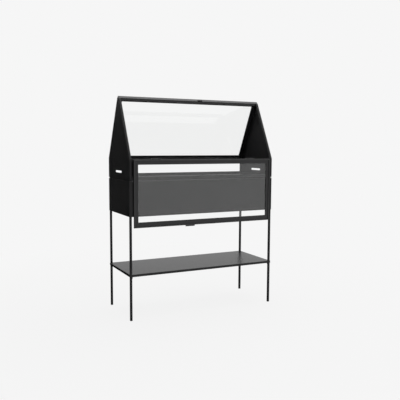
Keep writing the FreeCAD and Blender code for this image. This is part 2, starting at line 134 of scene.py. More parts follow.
class FittingSettings(bpy.types.PropertyGroup):
    """Sizes of the small fittings."""
    cord_radius: FloatProperty(
        name="Glazing cord radius", description="Half the thickness of the glazing cord",
        subtype="DISTANCE", unit="LENGTH", default=0.0007)
    cord_corner: FloatProperty(
        name="Glazing cord corner", description="Radius of the glazing cord at the corners of a pane",
        subtype="DISTANCE", unit="LENGTH", default=0.003)
    pin_cap_radius: FloatProperty(
        name="Pin cap radius", description="Radius of the domed heads on the hinge pins",
        subtype="DISTANCE", unit="LENGTH", default=0.0021)
    pin_cap_height: FloatProperty(
        name="Pin cap height", description="How far a pin head stands out of its hinge",
        subtype="DISTANCE", unit="LENGTH", default=0.0011)
    buffer_groove: FloatProperty(
        name="Buffer groove", description="Depth of the groove round each rubber strip",
        subtype="DISTANCE", unit="LENGTH", default=0.0009)
    return_width: FloatProperty(
        name="Return width", description="Width of the folded strip beside each front post",
        subtype="DISTANCE", unit="LENGTH", default=0.016)
    return_lip: FloatProperty(
        name="Return lip", description="Depth of the lip folded along that strip",
        subtype="DISTANCE", unit="LENGTH", default=0.008)


class StageSettings(bpy.types.PropertyGroup):
    """Camera, light and floor of the studio."""
    camera_place: FloatVectorProperty(
        name="Camera place", description="Where the camera stands",
        subtype="TRANSLATION", unit="LENGTH", size=3, default=(-1.4566, -3.02745, 0.9677))
    camera_yaw: FloatProperty(
        name="Camera yaw", description="Turn of the view to the right",
        subtype="ANGLE", unit="ROTATION", default=math.radians(26.56))
    camera_pitch: FloatProperty(
        name="Camera pitch", description="Tilt of the view downwards",
        subtype="ANGLE", unit="ROTATION", default=math.radians(5.58))
    camera_roll: FloatProperty(
        name="Camera roll", description="Lean of the view to the left",
        subtype="ANGLE", unit="ROTATION", default=math.radians(0.26))
    sensor: FloatProperty(
        name="Sensor", description="Width of the camera's sensor",
        unit="CAMERA", default=36)
    lens: FloatProperty(
        name="Lens", description="Focal length of the camera",
        unit="CAMERA", default=50.18)
    backdrop_white: FloatProperty(
        name="Backdrop white", description="Brightness of the pale backdrop and far floor",
        subtype="FACTOR", min=0, max=1, default=0.922)
    room_light: FloatProperty(
        name="Room light", description="Brightness of the soft light from all round",
        subtype="FACTOR", min=0, max=1, default=0.55)
    softbox_place: FloatVectorProperty(
        name="Softbox place", description="Where the soft lamp hangs",
        subtype="TRANSLATION", unit="LENGTH", size=3, default=(0.5, 0.4, 3.2))
    softbox_power: FloatProperty(
        name="Softbox power", description="Strength of the soft lamp overhead",
        unit="POWER", default=60)
    softbox_size: FloatProperty(
        name="Softbox size", description="Side of the soft lamp overhead",
        subtype="DISTANCE", unit="LENGTH", default=3.0)
    floor_radius: FloatProperty(
        name="Floor radius", description="Reach of the pale floor",
        subtype="DISTANCE", unit="LENGTH", default=2.6)
    floor_paper: FloatVectorProperty(
        name="Floor paper", description="Colour of the floor's paper",
        subtype="COLOR", size=3, min=0, max=1, default=(0.86, 0.855, 0.85))
    floor_white: FloatProperty(
        name="Floor white", description="How much of the floor under the planter is even white",
        subtype="FACTOR", min=0, max=1, default=0.94)
    flag_distance: FloatProperty(
        name="Flag distance", description="How far to the planter's left the dark flag stands",
        subtype="DISTANCE", unit="LENGTH", default=1.2)
    flag_height: FloatProperty(
        name="Flag height", description="Height of the standing flag",
        subtype="DISTANCE", unit="LENGTH", default=1.65)
    flag_front: FloatProperty(
        name="Flag front", description="How far the standing flag reaches in front of the planter",
        subtype="DISTANCE", unit="LENGTH", default=1.5)
    flag_back: FloatProperty(
        name="Flag back", description="How far the standing flag reaches behind the planter",
        subtype="DISTANCE", unit="LENGTH", default=9.0)
    flag_tone: FloatProperty(
        name="Flag tone", description="Grey of the flags' felt",
        subtype="FACTOR", min=0, max=1, default=0.022)


# Frame reading

def points_of(node):
    return [vertex.co.copy() for vertex in frame["nodes"][node].data.vertices]


def corners_of(points):
    """Lowest and highest corner of some points."""
    low = Vector([min(p[i] for p in points) for i in range(3)])
    high = Vector([max(p[i] for p in points) for i in range(3)])
    return low, high


def solids_of(node):
    """Lowest and highest corner of each separate solid in a node, from left to right."""
    mesh = frame["nodes"][node].data
    solids = []
    for face in mesh.polygons:
        solid = {mesh.vertices[i].co.to_tuple(PLACES) for i in face.vertices}
        apart = []
        for other in solids:
            if solid & other:
                solid |= other
            else:
                apart.append(other)
        solids = apart + [solid]
    return sorted((corners_of(solid) for solid in solids), key=lambda corners: tuple(corners[0]))


def inner_edge(node, up):
    """Half width, and lowest and highest reach along up, of the opening in a frame-shaped node."""
    points = points_of(node)
    half = min(abs(p.x) for p in points)
    reach = [p.dot(up) for p in points if abs(p.x) < half + TOUCH]
    return half, min(reach), max(reach)


def pane_axes(pane):
    """The directions up and out of a pane, read from its largest face."""
    mesh = frame["nodes"][pane].data
    largest = max(mesh.polygons, key=lambda face: face.area)
    out = largest.normal.copy()
    if out.z < -TOUCH or (abs(out.z) < TOUCH and out.y > 0):
        out.negate()
    up = out.cross(X_AXIS).normalized()
    if up.z < 0:
        up.negate()
    return up, out


# Modelling steps

def deselect():
    bpy.ops.object.select_all(action="DESELECT")


def activate(piece):
    deselect()
    piece.select_set(True)
    bpy.context.view_layer.objects.active = piece


def edit(piece, kind="FACE"):
    activate(piece)
    bpy.ops.object.mode_set(mode="EDIT")
    bpy.ops.mesh.select_mode(type=kind)


def leave_edit():
    bpy.ops.object.mode_set(mode="OBJECT")


def pick(piece, kind, wanted):
    """Select the faces or edges of a piece in edit mode that the test accepts."""
    bpy.ops.mesh.select_mode(type=kind)
    bpy.ops.mesh.select_all(action="DESELECT")
    mesh = bmesh.from_edit_mesh(piece.data)
    mesh.normal_update()
    for part in (mesh.faces if kind == "FACE" else mesh.edges):
        part.select_set(wanted(part))
    mesh.select_flush_mode()
    bmesh.update_edit_mesh(piece.data)


def middle(edge):
    return (edge.verts[0].co + edge.verts[1].co) / 2


def runs_along(edge, direction):
    run = (edge.verts[1].co - edge.verts[0].co).normalized()
    return abs(run.dot(direction)) > 1 - TOUCH


def along(direction):
    """A test for edges that run along a direction."""
    return lambda edge: runs_along(edge, direction)


def above(level):
    """A test for edges that lie above a level."""
    return lambda edge: middle(edge).z > level


def below(level):
    """A test for edges that lie below a level."""
    return lambda edge: middle(edge).z < level


def at_level(level):
    """A test for edges that lie flat in a level."""
    return lambda edge: all(abs(vertex.co.z - level) < MERGE_DISTANCE for vertex in edge.verts)


def facing(direction):
    """A test for faces that look along a direction."""
    return lambda face: face.normal.dot(direction) > 1 - TOUCH


def name_piece(name):
    piece = bpy.context.object
    piece.name = name
    piece.data.name = name
    return piece


def add_block(name, low, high):
    """A block between two corners, ready to be shaped."""
    deselect()
    bpy.ops.mesh.primitive_cube_add(size=1, location=(low + high) / 2, scale=high - low)
    piece = name_piece(name)
    bpy.ops.object.transform_apply(location=True, rotation=True, scale=True)
    return piece


def add_round(name, radius, low, high, sides):
    """A round or many-sided bar on the z axis, between two heights."""
    deselect()
    bpy.ops.mesh.primitive_cylinder_add(
        vertices=sides, radius=radius, depth=high - low, location=(0, 0, (low + high) / 2))
    piece = name_piece(name)
    bpy.ops.object.transform_apply(location=True, rotation=True, scale=True)
    return piece


def round_edges(piece, wanted, width, steps=2):
    edit(piece, "EDGE")
    pick(piece, "EDGE", wanted)
    bpy.ops.mesh.bevel(offset=width, segments=steps, affect="EDGES", clamp_overlap=True)
    leave_edit()


def extrude_out(depth):
    """Extrude the selected faces along their normals, inwards for a negative depth."""
    bpy.ops.mesh.extrude_region_shrink_fatten(TRANSFORM_OT_shrink_fatten={"value": depth})


def inset_out(piece, wanted, margin, depth):
    """Inset the wanted faces and extrude what is left of them, inwards for a negative depth."""
    edit(piece)
    pick(piece, "FACE", wanted)
    bpy.ops.mesh.inset(thickness=margin, depth=0)
    extrude_out(depth)
    leave_edit()


def join(first, others):
    activate(first)
    for other in others:
        other.select_set(True)
    bpy.ops.object.join()
    return first


def cut(piece, cutter):
    """Take the cutter's shape out of a piece and delete the cutter."""
    activate(piece)
    hollow = piece.modifiers.new("cut", "BOOLEAN")
    hollow.operation = "DIFFERENCE"
    hollow.solver = "EXACT"
    hollow.object = cutter
    bpy.ops.object.modifier_apply(modifier=hollow.name)
    bpy.data.objects.remove(cutter)


def place(piece, matrix):
    """Put a piece at a place, with the place in its mesh."""
    activate(piece)
    piece.matrix_world = matrix
    bpy.ops.object.transform_apply(location=True, rotation=True, scale=True)


def copy_to(piece, name, matrix):
    """A copy with its own mesh, at a place."""
    twin = piece.copy()
    twin.data = piece.data.copy()
    twin.name = name
    twin.data.name = name
    bpy.context.scene.collection.objects.link(twin)
    place(twin, matrix)
    return twin


def axes_at(point, out, up):
    """A matrix whose z axis is out and whose y axis is close to up, at a point."""
    side = up.cross(out).normalized()
    return Matrix.Translation(point) @ Matrix((side, out.cross(side), out)).transposed().to_4x4()


def tidy_mesh(piece):
    edit(piece)
    bpy.ops.mesh.select_all(action="SELECT")
    bpy.ops.mesh.remove_doubles(threshold=MERGE_DISTANCE)
    bpy.ops.mesh.normals_make_consistent(inside=False)
    leave_edit()
    bpy.ops.object.shade_smooth_by_angle(angle=SMOOTH_ANGLE)


def finish_piece(piece, finish, body, slot, *stands_for):
    """Clean a new piece, give it a finish, and say what it rides on and stands for."""
    tidy_mesh(piece)
    piece.data.materials.clear()
    piece.data.materials.append(finishes[finish])
    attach(piece, body)
    if stands_for:
        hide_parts(*stands_for)


# Shader nodes

# The stretch of a noise's values over which a tone or gloss runs
NOISE_LOW = 0.3
NOISE_HIGH = 0.7


def new_material(name):
    material = bpy.data.materials.new(name)
    material.use_nodes = True
    return material, material.node_tree.nodes, material.node_tree.links


def shader_of(material):
    return material.node_tree.nodes["Principled BSDF"]


def object_noise(nodes, links, width, detail):
    """Noise on the object's own coordinates with grains of about the given width."""
    coordinates = nodes.new("ShaderNodeTexCoord")
    noise = nodes.new("ShaderNodeTexNoise")
    noise.inputs["Scale"].default_value = 1 / width
    noise.inputs["Detail"].default_value = detail
    links.new(coordinates.outputs["Object"], noise.inputs["Vector"])
    return noise.outputs["Fac"]


def between(nodes, links, factor, low, high):
    """A value that runs from low to high over the middle of a noise."""
    span = nodes.new("ShaderNodeMapRange")
    span.inputs["From Min"].default_value = NOISE_LOW
    span.inputs["From Max"].default_value = NOISE_HIGH
    span.inputs["To Min"].default_value = low
    span.inputs["To Max"].default_value = high
    links.new(factor, span.inputs["Value"])
    return span.outputs["Result"]


def two_tones(nodes, links, factor, dark, light):
    """A colour between two tones by a factor."""
    tones = nodes.new("ShaderNodeMix")
    tones.data_type = "RGBA"
    tones.inputs["A"].default_value = (*dark, 1)
    tones.inputs["B"].default_value = (*light, 1)
    links.new(between(nodes, links, factor, 0, 1), tones.inputs["Factor"])
    return tones.outputs["Result"]


def bumped(nodes, links, shader, height, strength, depth):
    bump = nodes.new("ShaderNodeBump")
    bump.inputs["Strength"].default_value = strength
    bump.inputs["Distance"].default_value = depth
    links.new(height, bump.inputs["Height"])
    links.new(bump.outputs["Normal"], shader.inputs["Normal"])


def combined(nodes, links, operation, first, second):
    """Two values put together by a math operation, held between zero and one."""
    result = nodes.new("ShaderNodeMath")
    result.operation = operation
    result.use_clamp = True
    links.new(first, result.inputs[0])
    links.new(second, result.inputs[1])
    return result.outputs["Value"]


def mixed_surface(nodes, links, factor, first, second):
    """A surface of the first shader where the factor is zero and of the second where it is one."""
    mix = nodes.new("ShaderNodeMixShader")
    links.new(factor, mix.inputs["Fac"])
    links.new(first, mix.inputs[1])
    links.new(second, mix.inputs[2])
    links.new(mix.outputs["Shader"], nodes["Material Output"].inputs["Surface"])


# Finishes

# How far the gloss of a grained finish strays from its middle, and the detail of its two noises
GLOSS_SPREAD = 0.12
FINE_DETAIL = 2
SLOW_DETAIL = 4

# Slow patches in the powder coat's tone, and the strength of its grain
COAT_PATCH = 0.11
COAT_RELIEF = 0.05

# Faint smears on the panes, and the slow waves of drawn glass
SMEAR_WIDTH = 0.16
SMEAR_DETAIL = 5
SMEAR_ROUGHNESS = 0.025
WAVE_WIDTH = 0.35
WAVE_DETAIL = 1
WAVE_STRENGTH = 0.02
WAVE_DEPTH = 0.002

finishes = {}


def grained(name, dark, light, roughness, grain, patch, relief):
    """A finish with fine grain in its relief and gloss, and slow patches in its tone."""
    material, nodes, links = new_material(name)
    shader = shader_of(material)
    fine = object_noise(nodes, links, grain, FINE_DETAIL)
    slow = object_noise(nodes, links, patch, SLOW_DETAIL)
    links.new(two_tones(nodes, links, slow, dark, light), shader.inputs["Base Color"])
    gloss = between(nodes, links, fine, roughness * (1 - GLOSS_SPREAD), roughness * (1 + GLOSS_SPREAD))
    links.new(gloss, shader.inputs["Roughness"])
    bumped(nodes, links, shader, fine, relief, grain)
    return material


def powder_coat(name, roughness, gloss):
    settings = bpy.context.scene.planter_finish
    coat = grained(name, settings.coat_dark, settings.coat_light, roughness,
                   grain=settings.coat_grain, patch=COAT_PATCH, relief=COAT_RELIEF)
    shader_of(coat).inputs["Specular IOR Level"].default_value = gloss
    return coat


def clear_glass(name, index):
    settings = bpy.context.scene.planter_finish
    material, nodes, links = new_material(name)
    shader = shader_of(material)
    shader.inputs["Base Color"].default_value = (*settings.glass_tint, 1)
    shader.inputs["Transmission Weight"].default_value = 1
    shader.inputs["IOR"].default_value = index
    smears = object_noise(nodes, links, SMEAR_WIDTH, SMEAR_DETAIL)
    links.new(between(nodes, links, smears, 0, SMEAR_ROUGHNESS), shader.inputs["Roughness"])
    waves = object_noise(nodes, links, WAVE_WIDTH, WAVE_DETAIL)
    bumped(nodes, links, shader, waves, WAVE_STRENGTH, WAVE_DEPTH)
    return material


def zinc_plate():
    zinc = grained("zinc_plate", (0.5, 0.5, 0.47), (0.64, 0.64, 0.62),
                   roughness=0.28, grain=0.0007, patch=0.012, relief=0.06)
    shader_of(zinc).inputs["Metallic"].default_value = 1
    return zinc


def make_finishes():
    """Every finish of the planter, by the name that its pieces ask for."""
    settings = bpy.context.scene.planter_finish
    return {
        "black_steel": powder_coat("black_powder_coat", settings.coat_roughness, settings.coat_gloss),
        # The roof panel's glossier copy of the coat is painted light
        "panel_steel_painted_light": powder_coat("panel_coat_painted_light", settings.coat_roughness, settings.panel_gloss_painted_light),
        # The bead and ridge copy of the coat is painted shading
        "bead_ridge_steel_painted_shading": powder_coat("bead_ridge_coat_painted_shading", settings.coat_roughness, settings.bead_gloss_painted_shading),
        "shelf_steel": powder_coat("smooth_black_coat", settings.shelf_roughness, settings.coat_gloss),
        "clear_glass": clear_glass("clear_float_glass", settings.panel_index),
        "back_glass": clear_glass("thin_back_glass", settings.back_index),
        "buffer_rubber": grained("matt_rubber", (0.008, 0.008, 0.008), (0.016, 0.016, 0.016),
                                 roughness=0.72, grain=0.0009, patch=0.02, relief=0.1),
        "glazing_cord": grained("glazing_cord", (0.006, 0.006, 0.006), (0.012, 0.012, 0.012),
                                roughness=0.55, grain=0.0012, patch=0.05, relief=0.08),
        "glide_plastic": grained("moulded_glide", (0.012, 0.012, 0.012), (0.02, 0.02, 0.02),
                                 roughness=0.5, grain=0.0008, patch=0.03, relief=0.12),
        "catch_plastic": grained("moulded_catch", (0.009, 0.009, 0.01), (0.015, 0.015, 0.016),
                                 roughness=0.45, grain=0.0006, patch=0.02, relief=0.1),
        "bright_steel": zinc_plate(),
        "screw_black": grained("black_oxide", (0.012, 0.012, 0.013), (0.024, 0.024, 0.025),
                               roughness=0.36, grain=0.0009, patch=0.006, relief=0.05),
    }


# Operators, one for each piece or group of like pieces

class PLANTER_OT_dress_frame(bpy.types.Operator):
    """Give the steel, glass and hinge pieces of the frame their finishes and soft edges"""
    bl_idname = "planter.dress_frame"
    bl_label = "Dress the frame"

    EDGE_STEPS = 2

    def execute(self, context):
        finishes.update(make_finishes())
        for subpart in frame["record"]["subparts"]:
            node = subpart["node"]
            slot = subpart["material_slot"]
            piece = frame["nodes"][node]
            piece.material_slots[0].material = finishes[self.finish_name(node, slot)]
            self.soften(piece, context.scene.planter_finish.edge_round)
            if slot == "clear_glass":
                piece.visible_shadow = False
        return {"FINISHED"}

    def finish_name(self, node, slot):
        """A node's own finish, or else its slot's, which is glossier on the roof panel's steel; that
        glossier copy of the coat is painted light, so the panel reads lighter.
        """
        if node in OWN_FINISH:
            return OWN_FINISH[node]
        if slot == "black_steel" and BODY_OF[node] == "front_panel":
            return "panel_steel_painted_light"
        return slot

    def soften(self, piece, width):
        """Round a node's edges by modifiers, which leave its mesh as it is."""
        weld = piece.modifiers.new("weld", "WELD")
        weld.merge_threshold = MERGE_DISTANCE
        soft = piece.modifiers.new("soft_edge", "BEVEL")
        soft.width = width
        soft.segments = self.EDGE_STEPS
        soft.limit_method = "ANGLE"
        soft.angle_limit = SMOOTH_ANGLE
        soft.harden_normals = True


class PLANTER_OT_glazing_cords(bpy.types.Operator):
    """Lay a round glazing cord along both sides of the roof panel's pane and of the back pane"""
    bl_idname = "planter.glazing_cords"
    bl_label = "Glazing cords"

    CORNER_STEPS = 4
    ROUND_STEPS = 2

    def execute(self, context):
        settings = context.scene.planter_fittings
        self.lay(settings, "panel_outer_cord", "panel_glass", "panel_glazing_beads", 1)
        self.lay(settings, "panel_inner_cord", "panel_glass", "panel_glazing_beads", -1)
        self.lay(settings, "back_outer_cord", "back_glass", "back_glazing_beads", 1)
        self.lay(settings, "back_inner_cord", "back_glass", "back_ledge_frame", -1)
        return {"FINISHED"}

    def lay(self, settings, name, pane, holder, side):
        """One closed cord in the corner between a pane and the frame that holds it."""
        radius = settings.cord_radius
        up, out = pane_axes(pane)
        half, low, high = inner_edge(holder, up)
        levels = [p.dot(out) for p in points_of(pane)]
        face = max(levels) if side > 0 else min(levels)
        centre = up * (low + high) / 2 + out * (face + side * radius)
        deselect()
        bpy.ops.mesh.primitive_plane_add(size=1)
        cord = name_piece(name)
        size = Matrix.Diagonal((2 * (half - radius), high - low - 2 * radius, 1, 1))
        place(cord, axes_at(centre, out, up) @ size)
        edit(cord, "VERT")
        bpy.ops.mesh.select_all(action="SELECT")
        bpy.ops.mesh.delete(type="ONLY_FACE")
        bpy.ops.mesh.select_all(action="SELECT")
        bpy.ops.mesh.bevel(offset=settings.cord_corner, segments=self.CORNER_STEPS, affect="VERTICES")
        leave_edit()
        bpy.ops.object.convert(target="CURVE")
        cord.data.dimensions = "3D"
        cord.data.bevel_depth = radius
        cord.data.bevel_resolution = self.ROUND_STEPS
        bpy.ops.object.convert(target="MESH")
        finish_piece(cord, "glazing_cord", BODY_OF[pane], "buffer_rubber")


class PLANTER_OT_screws(bpy.types.Operator):
    """Model the hexagon screws under the shelf, in the trough and in the panel's hinge leaves"""
    bl_idname = "planter.screws"
    bl_label = "Hexagon screws"

    # Which way the tips of a node's screws point; those of the shelf point away from its middle
    TIP_WAYS = {"shelf_screws": X_AXIS, "trough_screws": -Z_AXIS, "moving_leaf_screws": -Z_AXIS}

    # Head height as a share of the flange's width
    HEAD = 0.23

    # Shares of the flange's radius
    SHANK = 0.5
    TIP_ROUND = 0.12
    HEXAGON = 0.84
    SOCKET_RIM = 0.22

    # Shares of the head's height
    FLANGE = 0.3
    SOCKET_DEPTH = 0.18
    HEAD_ROUND = 0.12

    # Shares of the flange's height
    FLANGE_ROUND = 0.6
    HEXAGON_FOOT = 0.8

    SHANK_SIDES = 20
    FLANGE_SIDES = 28
    HEXAGON_SIDES = 6

    def execute(self, context):
        for node, tip_way in self.TIP_WAYS.items():
            self.fill(node, tip_way)
        return {"FINISHED"}

    def fill(self, node, tip_way):
        """One screw modelled from the node's sizes, then a copy in each place."""
        solids = solids_of(node)
        low, high = solids[0]
        spread = high - low
        length = abs(spread.dot(tip_way))
        width = min(spread[i] for i in range(3) if not tip_way[i])
        pattern = self.model(width, length)
        for number, (low, high) in enumerate(solids, 1):
            centre = (low + high) / 2
            run = tip_way.copy()
            if node == "shelf_screws" and centre.x < 0:
                run.negate()
            tip = centre + run * length / 2
            up = Y_AXIS if abs(run.z) > TOUCH else Z_AXIS
            screw = copy_to(pattern, f"{node}_{number}", axes_at(tip, -run, up))
            finish_piece(screw, "screw_black", BODY_OF[node], "screw_black", node)
        bpy.data.objects.remove(pattern)

    def model(self, width, length):
        """A flanged hexagon screw on the z axis with its tip at zero and its head on top."""
        radius = width / 2
        head = width * self.HEAD
        flange = head * self.FLANGE
        seat = length - head
        body = add_round("screw", radius * self.SHANK, 0, seat, self.SHANK_SIDES)
        round_edges(body, below(TOUCH), radius * self.TIP_ROUND)
        collar = add_round("collar", radius, seat, seat + flange, self.FLANGE_SIDES)
        round_edges(collar, above(seat + flange - MERGE_DISTANCE), flange * self.FLANGE_ROUND)
        foot = seat + flange * self.HEXAGON_FOOT
        hexagon = add_round("hexagon", radius * self.HEXAGON, foot, length, self.HEXAGON_SIDES)
        inset_out(hexagon, facing(Z_AXIS), radius * self.SOCKET_RIM, -head * self.SOCKET_DEPTH)
        round_edges(hexagon, above(length - MERGE_DISTANCE), head * self.HEAD_ROUND)
        return join(body, [collar, hexagon])


class PLANTER_OT_flush_screws(bpy.types.Operator):
    """Model the countersunk cross-head screws in the fixed hinge leaves"""
    bl_idname = "planter.flush_screws"
    bl_label = "Flush screws"

    # Shares of the head's radius
    HEAD = 0.55
    HEAD_ROUND = 0.07
    CROSS_REACH = 0.62
    CROSS_WIDTH = 0.12
    SHANK = 0.45

    # Share of the head's height
    CROSS_DEPTH = 0.5

    HEAD_SIDES = 28
    SHANK_SIDES = 16

    def execute(self, context):
        solids = solids_of("fixed_leaf_screws")
        low, high = solids[0]
        pattern = self.model((high.x - low.x) / 2, high.y - low.y)
        for number, (low, high) in enumerate(solids, 1):
            centre = (low + high) / 2
            tip = Vector((centre.x, high.y, centre.z))
            screw = copy_to(pattern, f"fixed_leaf_screws_{number}", axes_at(tip, -Y_AXIS, Z_AXIS))
            finish_piece(screw, "screw_black", "greenhouse_top", "screw_black", "fixed_leaf_screws")
        bpy.data.objects.remove(pattern)
        return {"FINISHED"}

    def model(self, radius, length):
        """A countersunk screw on the z axis with its tip at zero and a cross cut in its head."""
        head = radius * self.HEAD
        screw = add_round("flush_screw", radius, length - head, length, self.HEAD_SIDES)
        round_edges(screw, above(length - MERGE_DISTANCE), radius * self.HEAD_ROUND)
        top = Vector((0, 0, length))
        arm = Vector((radius * self.CROSS_REACH, radius * self.CROSS_WIDTH, head * self.CROSS_DEPTH))
        for turned in (arm, Vector((arm.y, arm.x, arm.z))):
            cut(screw, add_block("cross", top - turned, top + turned))
        shank = add_round("shank", radius * self.SHANK, 0, length - head, self.SHANK_SIDES)
        return join(screw, [shank])


class PLANTER_OT_glides(bpy.types.Operator):
    """Mould the four glides that plug the legs"""
    bl_idname = "planter.glides"
    bl_label = "Leg glides"

    # Shares of the glide's side
    CORNER = 0.09
    SHOULDER = 0.11
    PLUG_ROUND = 0.08

    # Share of the foot's height
    FOOT_ROUND = 0.3

    ROUND_STEPS = 3

    def execute(self, context):
        tube_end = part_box("left_front_leg")[0].z
        for number, (low, high) in enumerate(solids_of("leg_glides"), 1):
            glide = add_block(f"leg_glide_{number}", low, Vector((high.x, high.y, tube_end)))
            side = high.x - low.x
            round_edges(glide, along(Z_AXIS), side * self.CORNER, self.ROUND_STEPS)
            round_edges(glide, below(TOUCH), tube_end * self.FOOT_ROUND, self.ROUND_STEPS)
            inset_out(glide, facing(Z_AXIS), side * self.SHOULDER, high.z - tube_end)
            round_edges(glide, above(high.z - TOUCH), side * self.PLUG_ROUND)
            finish_piece(glide, "glide_plastic", "stand", "glide_plastic", "leg_glides")
        return {"FINISHED"}


class PLANTER_OT_buffers(bpy.types.Operator):
    """Mould the grooved rubber strips that the house stands on"""
    bl_idname = "planter.buffers"
    bl_label = "Seat buffers"

    # Share of the strip's width
    CORNER = 0.3

    CORNER_STEPS = 4
    GROOVE_STEPS = 2

    def execute(self, context):
        groove = context.scene.planter_fittings.buffer_groove
        for number, (low, high) in enumerate(solids_of("seat_buffers"), 1):
            strip = add_block(f"seat_buffer_{number}", low, high)
            round_edges(strip, along(Z_AXIS), (high.x - low.x) * self.CORNER, self.CORNER_STEPS)
            self.cut_groove(strip, (low + high) / 2, groove)
            finish_piece(strip, "buffer_rubber", "greenhouse_top", "buffer_rubber", "seat_buffers")
        return {"FINISHED"}

    def cut_groove(self, strip, point, size):
        """A groove right round the strip at half its height."""
        edit(strip, "EDGE")
        bpy.ops.mesh.select_all(action="SELECT")
        bpy.ops.mesh.bisect(plane_co=point, plane_no=Z_AXIS)
        pick(strip, "EDGE", at_level(point.z))
        bpy.ops.mesh.bevel(offset=size, segments=self.GROOVE_STEPS, affect="EDGES")
        pick(strip, "EDGE", at_level(point.z))
        bpy.ops.transform.shrink_fatten(value=-size)
        leave_edit()


class PLANTER_OT_post_returns(bpy.types.Operator):
    """Fold the narrow steel returns beside the house's front posts"""
    bl_idname = "planter.post_returns"
    bl_label = "Post returns"

    # Share of the sheet's thickness
    FOLD_ROUND = 0.25

    def execute(self, context):
        settings = context.scene.planter_fittings
        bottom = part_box("front_sill_rail")[1].z
        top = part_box("front_eave_rail")[0].z
        sheet_low, sheet_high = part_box("left_gable_sheet")
        sheet = sheet_high.x - sheet_low.x
        for side, inward in (("left", 1), ("right", -1)):
            low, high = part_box(f"{side}_gable_front_post")
            post = high.x if inward > 0 else low.x
            free = post + inward * settings.return_width
            strip = add_block(f"{side}_post_return",
                              Vector((min(post, free), high.y - sheet, bottom)),
                              Vector((max(post, free), high.y, top)))
            self.fold_lip(strip, free - inward * sheet, inward, settings.return_lip)
            round_edges(strip, lambda edge: runs_along(edge, Z_AXIS) and abs(middle(edge).x - free) < TOUCH,
                        sheet * self.FOLD_ROUND)
            finish_piece(strip, "black_steel", "greenhouse_top", "black_steel")
        return {"FINISHED"}

    def fold_lip(self, strip, fold, inward, depth):
        """Bring the part of the strip past the fold forwards as a lip."""
        looks_forwards = facing(-Y_AXIS)
        edit(strip)
        bpy.ops.mesh.select_all(action="SELECT")
        bpy.ops.mesh.bisect(plane_co=(fold, 0, 0), plane_no=X_AXIS)
        pick(strip, "FACE", lambda face: looks_forwards(face)
             and inward * (face.calc_center_median().x - fold) > 0)
        extrude_out(depth)
        leave_edit()


class PLANTER_OT_ridge_catch(bpy.types.Operator):
    """Mould the magnet catch on the ridge, with two steel poles in its pocket"""
    bl_idname = "planter.ridge_catch"
    bl_label = "Ridge catch"

    # Shares of half the case's width
    CORNER = 0.3
    POCKET_WALL = 0.3
    POLE_PLACE = 0.3
    POLE_WIDTH = 0.13
    POLE_ROUND = 0.04

    # Share of half the case's length
    POLE_LENGTH = 0.72

    # Shares of the case's height
    POCKET = 0.25
    RIM_ROUND = 0.1

    # Height of a pole as a share of the pocket's depth
    POLE_HEIGHT = 1.5

    CORNER_STEPS = 4
    RIM_STEPS = 3

    def execute(self, context):
        low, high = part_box("ridge_catch")
        out = (Z_AXIS - Y_AXIS).normalized()
        up = (Z_AXIS + Y_AXIS).normalized()
        levels = [p.dot(out) for p in points_of("ridge_catch")]
        reach = [p.dot(up) for p in points_of("ridge_catch")]
        base = up * (min(reach) + max(reach)) / 2 + out * min(levels)
        base.x = (low.x + high.x) / 2
        half = Vector((high.x - low.x, max(reach) - min(reach), 0)) / 2
        height = max(levels) - min(levels)
        case = self.model_case(half, height)
        poles = self.model_poles(half, height)
        seat = axes_at(base, out, up)
        place(case, seat)
        place(poles, seat)
        finish_piece(case, "catch_plastic", "greenhouse_top", "catch_plastic", "ridge_catch")
        finish_piece(poles, "screw_black", "greenhouse_top", "screw_black")
        return {"FINISHED"}

    def model_case(self, half, height):
        """The case on the z axis, with a pocket in its top."""
        case = add_block("ridge_catch_case", -half, half + Z_AXIS * height)
        round_edges(case, along(Z_AXIS), half.y * self.CORNER, self.CORNER_STEPS)
        inset_out(case, facing(Z_AXIS), half.y * self.POCKET_WALL, -height * self.POCKET)
        round_edges(case, above(height - MERGE_DISTANCE), height * self.RIM_ROUND, self.RIM_STEPS)
        return case

    def model_poles(self, half, height):
        """The two bars that stand in the pocket and end level with the case."""
        size = Vector((half.x * self.POLE_LENGTH, half.y * self.POLE_WIDTH, 0))
        foot = height - height * self.POCKET * self.POLE_HEIGHT
        poles = []
        for side in (-1, 1):
            centre = Vector((0, side * half.y * self.POLE_PLACE, 0))
            pole = add_block("pole", centre - size + Z_AXIS * foot, centre + size + Z_AXIS * height)
            round_edges(pole, above(height - MERGE_DISTANCE), half.y * self.POLE_ROUND)
            poles.append(pole)
        join(poles[0], poles[1:])
        return name_piece("ridge_catch_poles")


class PLANTER_OT_pull_lip(bpy.types.Operator):
    """Shape the finger lip on the panel's free edge, with round corners and a rolled rim"""
    bl_idname = "planter.pull_lip"
    bl_label = "Pull lip"

    # Share of the lip's reach
    CORNER = 0.4

    # Share of the lip's thickness
    RIM = 0.42

    # Angle between faces, in radians, past which the rim's edges are rolled
    SHARP_ANGLE = 1

    CORNER_STEPS = 6
    RIM_STEPS = 3

    def execute(self, context):
        low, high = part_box("pull_lip")
        size = high - low
        lip = add_block("finger_lip", low, high)
        free = below(low.z + TOUCH)
        round_edges(lip, lambda edge: runs_along(edge, Y_AXIS) and free(edge),
                    size.z * self.CORNER, self.CORNER_STEPS)
        round_edges(lip, lambda edge: self.on_rim(edge, high.z), size.y * self.RIM, self.RIM_STEPS)
        finish_piece(lip, "panel_steel_painted_light", "front_panel", "black_steel", "pull_lip")
        return {"FINISHED"}

    def on_rim(self, edge, root):
        """Whether an edge is a sharp one round the lip, clear of its root on the panel."""
        if runs_along(edge, Y_AXIS) or middle(edge).z > root - TOUCH:
            return False
        return len(edge.link_faces) == 2 and edge.calc_face_angle() > self.SHARP_ANGLE


